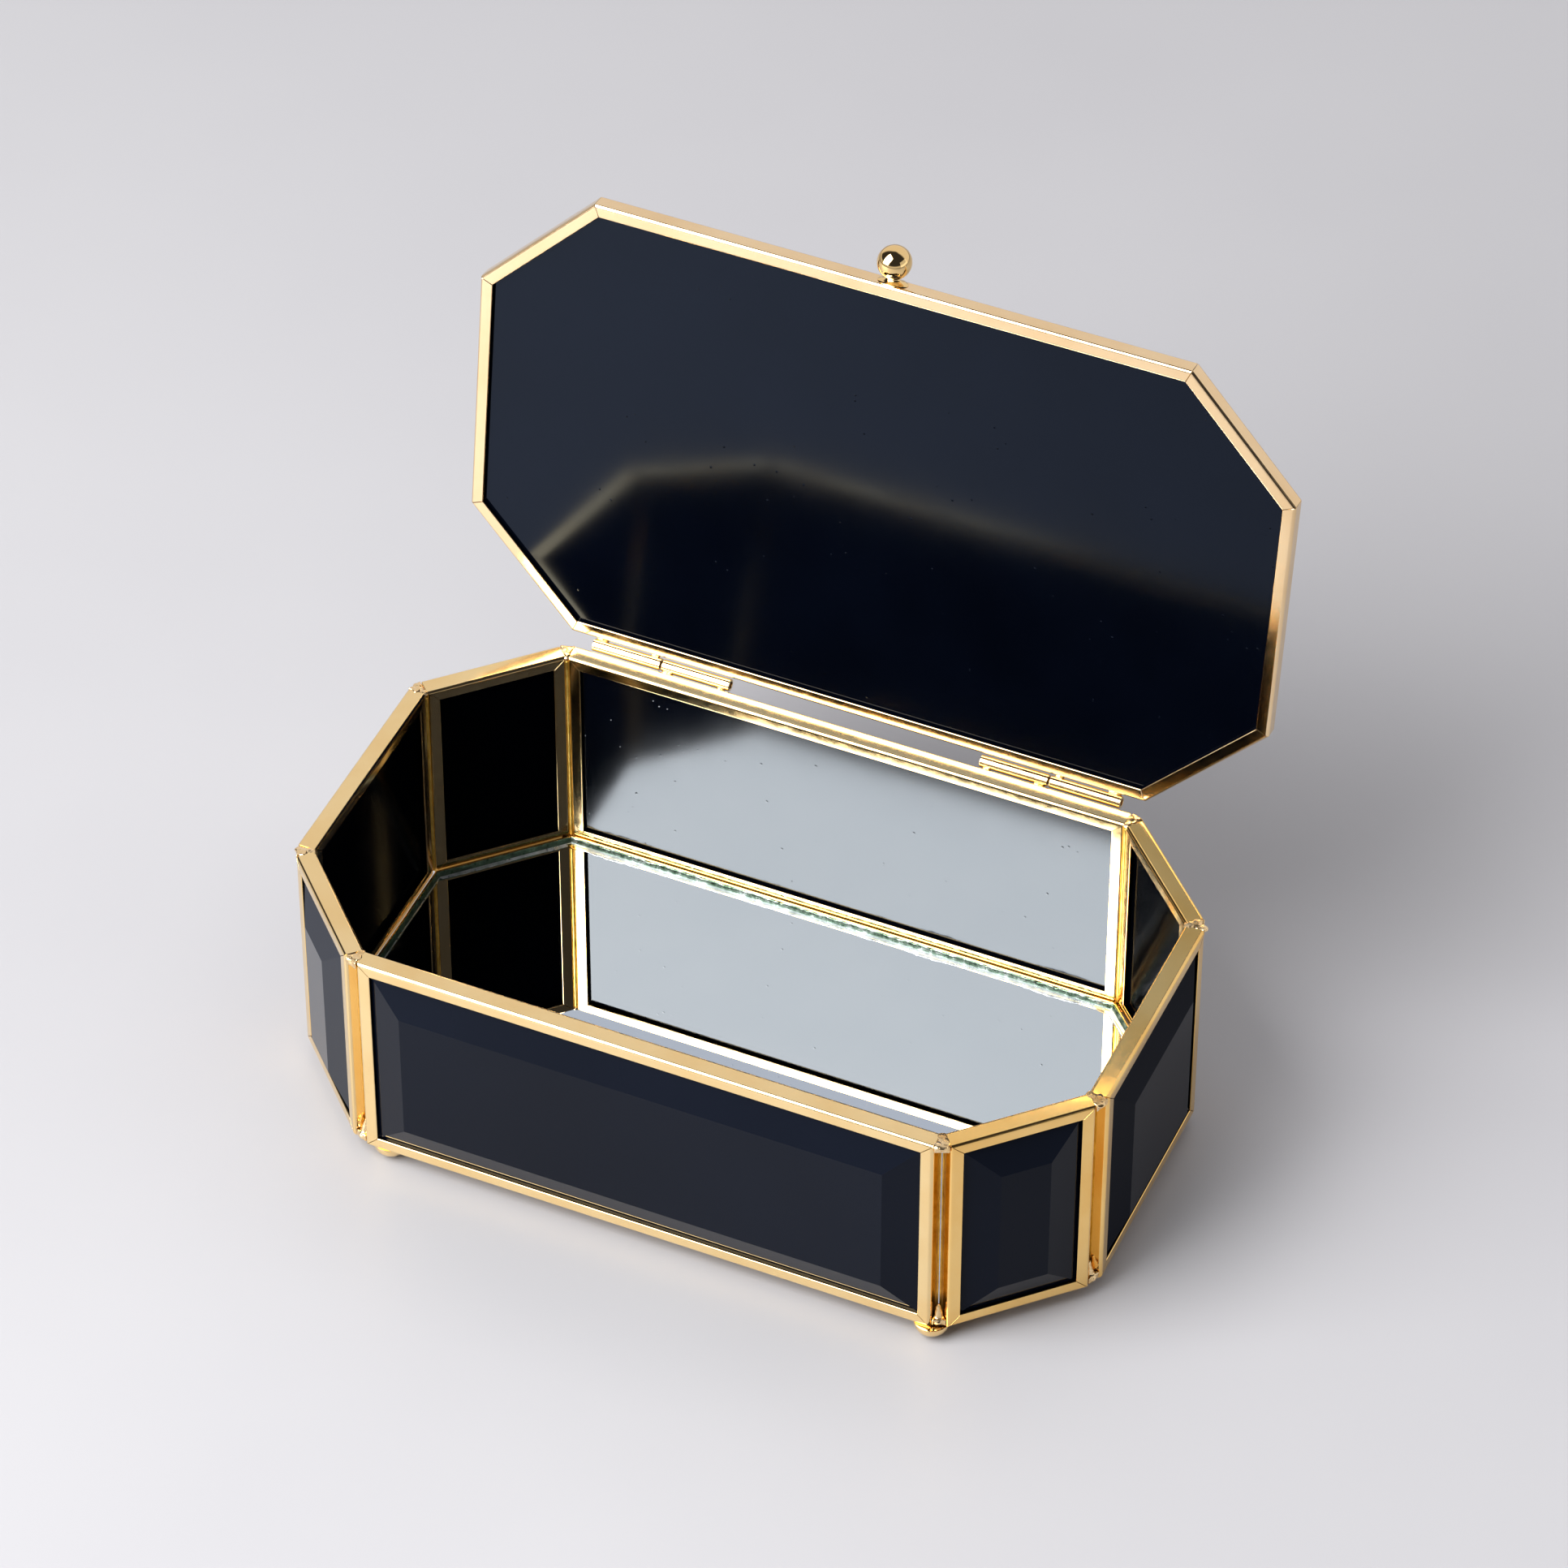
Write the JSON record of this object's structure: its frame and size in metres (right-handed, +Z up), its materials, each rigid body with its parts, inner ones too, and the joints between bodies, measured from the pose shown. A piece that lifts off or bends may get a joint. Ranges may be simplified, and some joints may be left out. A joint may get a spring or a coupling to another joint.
{
  "type": "jewelry gift box",
  "caption": "Elongated octagonal jewelry box of dark bevelled glass in polished brass frames, with a mirrored floor, a hinged glass lid with a ball knob, and small ball feet.",
  "frame": {"origin": "on the ground under the middle of the whole box's bounding box, lid open", "axes": "+X to the right along the long side, +Y from the front towards the hinged back, +Z up"},
  "size_m": [0.2042, 0.1454, 0.189],
  "materials": {
    "brass": "polished, clear lacquered",
    "solder": "bright, uneven, brass plated solder",
    "dark_glass": "smoked near-black navy glass, polished, ground bevel",
    "mirror": "silvered mirror glass",
    "mirror_backing": "matt, dark red-brown"
  },
  "bodies": {
    "base": {"front_frame": "brass", "front_pane": "dark_glass", "front_right_frame": "brass", "front_right_pane": "dark_glass", "right_frame": "brass", "right_pane": "dark_glass", "back_right_frame": "brass", "back_right_pane": "dark_glass", "back_frame": "brass", "back_pane": "dark_glass", "back_left_frame": "brass", "back_left_pane": "dark_glass", "left_frame": "brass", "left_pane": "dark_glass", "front_left_frame": "brass", "front_left_pane": "dark_glass", "top_solder_front_l": "solder", "bottom_solder_front_l": "solder", "top_solder_front_r": "solder", "bottom_solder_front_r": "solder", "top_solder_right_f": "solder", "bottom_solder_right_f": "solder", "top_solder_right_b": "solder", "bottom_solder_right_b": "solder", "top_solder_back_r": "solder", "bottom_solder_back_r": "solder", "top_solder_back_l": "solder", "bottom_solder_back_l": "solder", "top_solder_left_b": "solder", "bottom_solder_left_b": "solder", "top_solder_left_f": "solder", "bottom_solder_left_f": "solder", "floor_frame": "brass", "floor_mirror": "mirror", "floor_backing": "mirror_backing", "foot_front_left": "brass", "foot_front_right": "brass", "foot_back_left": "brass", "foot_back_right": "brass", "hinge_body_knuckle_left": "brass", "hinge_pin_left": "brass", "hinge_body_knuckle_right": "brass", "hinge_pin_right": "brass"},
    "lid": {"lid_frame": "brass", "lid_pane": "dark_glass", "knob_base": "brass", "knob_ball": "brass", "hinge_lid_knuckle_left": "brass", "hinge_lid_knuckle_right": "brass"}
  },
  "joints": [
    {"name": "lid_hinge", "type": "hinge", "parent": "base", "child": "lid", "pos_m": [0, 0.04795, 0.06295], "axis": [1, 0, 0], "range_deg": [0, 98.5]}
  ]
}
